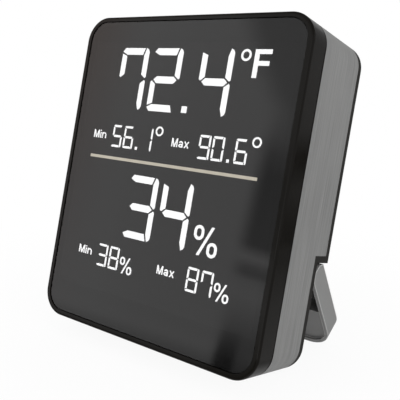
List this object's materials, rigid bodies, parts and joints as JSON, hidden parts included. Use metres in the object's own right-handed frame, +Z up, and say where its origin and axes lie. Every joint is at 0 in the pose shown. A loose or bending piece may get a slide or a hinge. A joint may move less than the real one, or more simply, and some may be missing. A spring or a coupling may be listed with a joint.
{
  "type": "digital hygrometer",
  "caption": "Desktop digital hygrometer and thermometer with a dark window over a segment display, a silver band and a hollow rear stand that folds into the back.",
  "frame": {"origin": "on the surface that the object stands on, under the middle of its box, with the stand open", "axes": "+Z up, +X to the right seen from the front, the display faces -Y and leans back with the open stand"},
  "size_m": [0.0844, 0.0572, 0.1031],
  "materials": {
    "frame_black": "satin moulded black plastic",
    "window_tint": "clear acrylic with a smoke tint",
    "tape_black": "double-sided foam tape",
    "print_beige": "printed line",
    "segments_white": "lit white display segments",
    "display_glass": "polarised display glass",
    "light_guide": "milky light guide",
    "frame_white": "moulded white plastic",
    "elastomer": "conductive elastomer strip",
    "board_green": "solder-masked circuit board",
    "potting_black": "epoxy potting",
    "band_silver": "brushed silver lacquer on plastic",
    "cover_dark": "fine-grained dark plastic",
    "button_dark": "soft grey rubber",
    "switch_steel": "stamped switch can",
    "sensor_white": "ceramic sensor body",
    "screw_steel": "zinc-plated steel",
    "ribbon_grey": "flat cable",
    "cell_sleeve": "plain dark cell sleeve",
    "contact_nickel": "nickel-plated contact metal",
    "lead_red": "insulated wire",
    "stand_silver": "silver lacquer on plastic",
    "pin_steel": "drawn steel"
  },
  "bodies": {
    "case": {"front_bezel": "frame_black", "display_window": "window_tint", "window_tape": "tape_black", "divider_strip": "print_beige", "lcd_segments": "segments_white", "lcd_panel": "display_glass", "backlight_panel": "light_guide", "lcd_frame": "frame_white", "contact_strip": "elastomer", "main_board": "board_green", "controller_chip": "potting_black", "housing_band": "band_silver", "rear_cover": "cover_dark", "key_board": "board_green", "key_switches": "switch_steel", "humidity_sensor": "sensor_white", "key_board_screws": "screw_steel", "ribbon_cable": "ribbon_grey", "ribbon_sockets": "frame_white", "upper_cell": "cell_sleeve", "lower_cell": "cell_sleeve", "battery_springs": "contact_nickel", "battery_plates": "contact_nickel", "battery_leads": "lead_red", "stand_pins": "pin_steel", "upper_case_screws": "screw_steel", "lower_case_screws": "screw_steel"},
    "stand": {"stand": "stand_silver"},
    "battery_door": {"battery_door": "cover_dark"},
    "unit_button": {"unit_button": "button_dark"},
    "reset_button": {"reset_button": "button_dark"}
  },
  "joints": [
    {"name": "stand_hinge", "type": "hinge", "parent": "case", "child": "stand", "pos_m": [0, 0.00781, 0.02714], "axis": [1, 0, 0], "range_deg": [-45, 0]},
    {"name": "battery_door_hinge", "type": "hinge", "parent": "case", "child": "battery_door", "pos_m": [0, 0.01419, 0.04077], "axis": [-1, 0, 0], "range_deg": [0, 75]},
    {"name": "unit_button_press", "type": "slide", "parent": "case", "child": "unit_button", "axis": [0, -0.967, 0.2546], "range_m": [0, 0.0005], "stiffness_N_per_m": 400},
    {"name": "reset_button_press", "type": "slide", "parent": "case", "child": "reset_button", "axis": [0, -0.967, 0.2546], "range_m": [0, 0.0005], "stiffness_N_per_m": 400}
  ]
}
